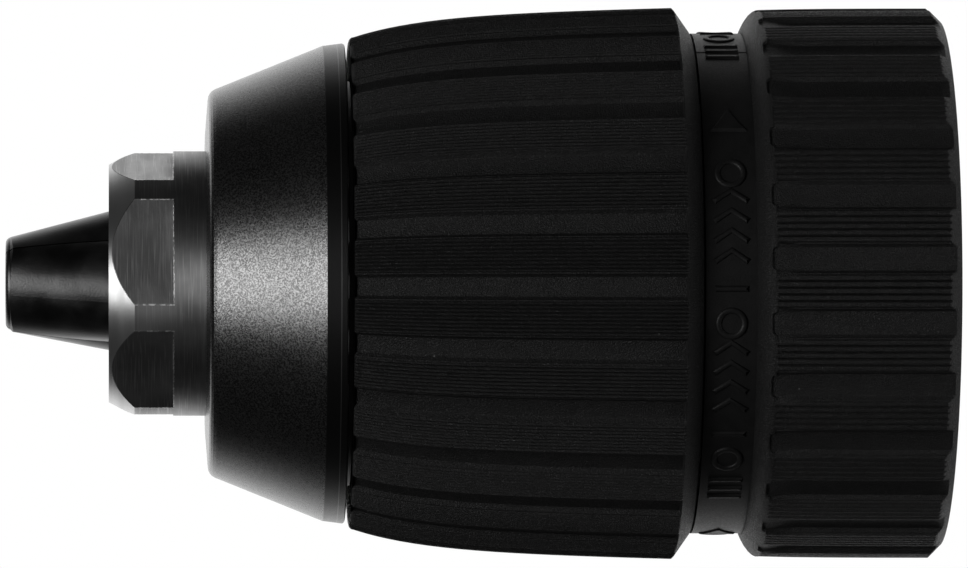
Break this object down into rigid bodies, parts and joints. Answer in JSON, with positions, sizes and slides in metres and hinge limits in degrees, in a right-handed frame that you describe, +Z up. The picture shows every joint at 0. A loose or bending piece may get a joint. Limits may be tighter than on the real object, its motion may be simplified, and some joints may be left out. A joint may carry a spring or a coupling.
{
  "type": "drill chuck",
  "caption": "Keyless drill chuck with slanted jaws closed, steel nose with spanner flats, steel cone, ribbed plastic front sleeve, smooth neck and ribbed rear ring.",
  "frame": {"origin": "centre of the spindle bore's mouth, on the chuck's axis at its rear face", "axes": "+X out of the spindle mouth along the chuck's axis, so the jaws point to -X; +Z up; the raised arrow faces -Y"},
  "size_m": [0.0727, 0.043, 0.043],
  "materials": {
    "turned_steel": "fine turned, satin",
    "black_oxide": "black oxide, smooth ground",
    "blasted_steel": "blasted black, satin",
    "nut_steel": "turned, oiled",
    "plain_steel": "satin",
    "ground_steel": "ground and polished",
    "spring_steel": "blued spring steel",
    "cage_brass": "pressed, satin",
    "sleeve_plastic": "moulded, fine spark texture, ribbed",
    "neck_plastic": "moulded, smooth satin with raised marks"
  },
  "bodies": {
    "body": {"chuck_body": "turned_steel", "nose_cap": "blasted_steel", "rear_race": "ground_steel", "ratchet_ring": "plain_steel", "hub_ring": "plain_steel", "rear_carrier": "neck_plastic", "rear_grip": "sleeve_plastic"},
    "jaw_1": {"jaw_1": "black_oxide"},
    "jaw_2": {"jaw_2": "black_oxide"},
    "jaw_3": {"jaw_3": "black_oxide"},
    "nut": {"nut_half_a": "nut_steel", "nut_half_b": "nut_steel", "nut_band": "plain_steel", "front_race": "ground_steel", "detent_spring": "spring_steel"},
    "bearing": {"bearing_balls": "ground_steel", "ball_cage": "cage_brass"},
    "pawl": {"lock_pawl": "spring_steel"},
    "sleeve": {"drive_sleeve": "plain_steel", "front_grip": "sleeve_plastic"}
  },
  "joints": [
    {"name": "nut_turn", "type": "hinge", "parent": "body", "child": "nut", "pos_m": [-0.04065, 0, 0], "axis": [-1, 0, 0], "range_deg": [0, 4462]},
    {"name": "jaw_1_slide", "type": "slide", "parent": "body", "child": "jaw_1", "axis": [0.965, 0.1854, -0.1854], "range_m": [0, 0.0248]},
    {"name": "jaw_2_slide", "type": "slide", "parent": "body", "child": "jaw_2", "axis": [0.965, 0.0679, 0.2533], "range_m": [0, 0.0248]},
    {"name": "jaw_3_slide", "type": "slide", "parent": "body", "child": "jaw_3", "axis": [0.965, -0.2533, -0.0679], "range_m": [0, 0.0248]},
    {"name": "bearing_turn", "type": "hinge", "parent": "body", "child": "bearing", "pos_m": [-0.03565, 0, 0], "axis": [-1, 0, 0], "range_deg": [0, 2232]},
    {"name": "lock_turn", "type": "hinge", "parent": "nut", "child": "sleeve", "pos_m": [-0.03625, 0, 0], "axis": [-1, 0, 0], "range_deg": [-25, 0]},
    {"name": "pawl_swing", "type": "hinge", "parent": "nut", "child": "pawl", "pos_m": [-0.03205, 0.01679, -0.00497], "axis": [-1, 0, 0], "range_deg": [0, 1.7]}
  ],
  "couplings": [
    {"joint": "jaw_1_slide", "follows": "nut_turn", "m_per_rad": 0.00031831},
    {"joint": "jaw_2_slide", "follows": "nut_turn", "m_per_rad": 0.00031831},
    {"joint": "jaw_3_slide", "follows": "nut_turn", "m_per_rad": 0.00031831},
    {"joint": "bearing_turn", "follows": "nut_turn", "ratio": 0.5},
    {"joint": "pawl_swing", "follows": "lock_turn", "ratio": -0.068}
  ]
}
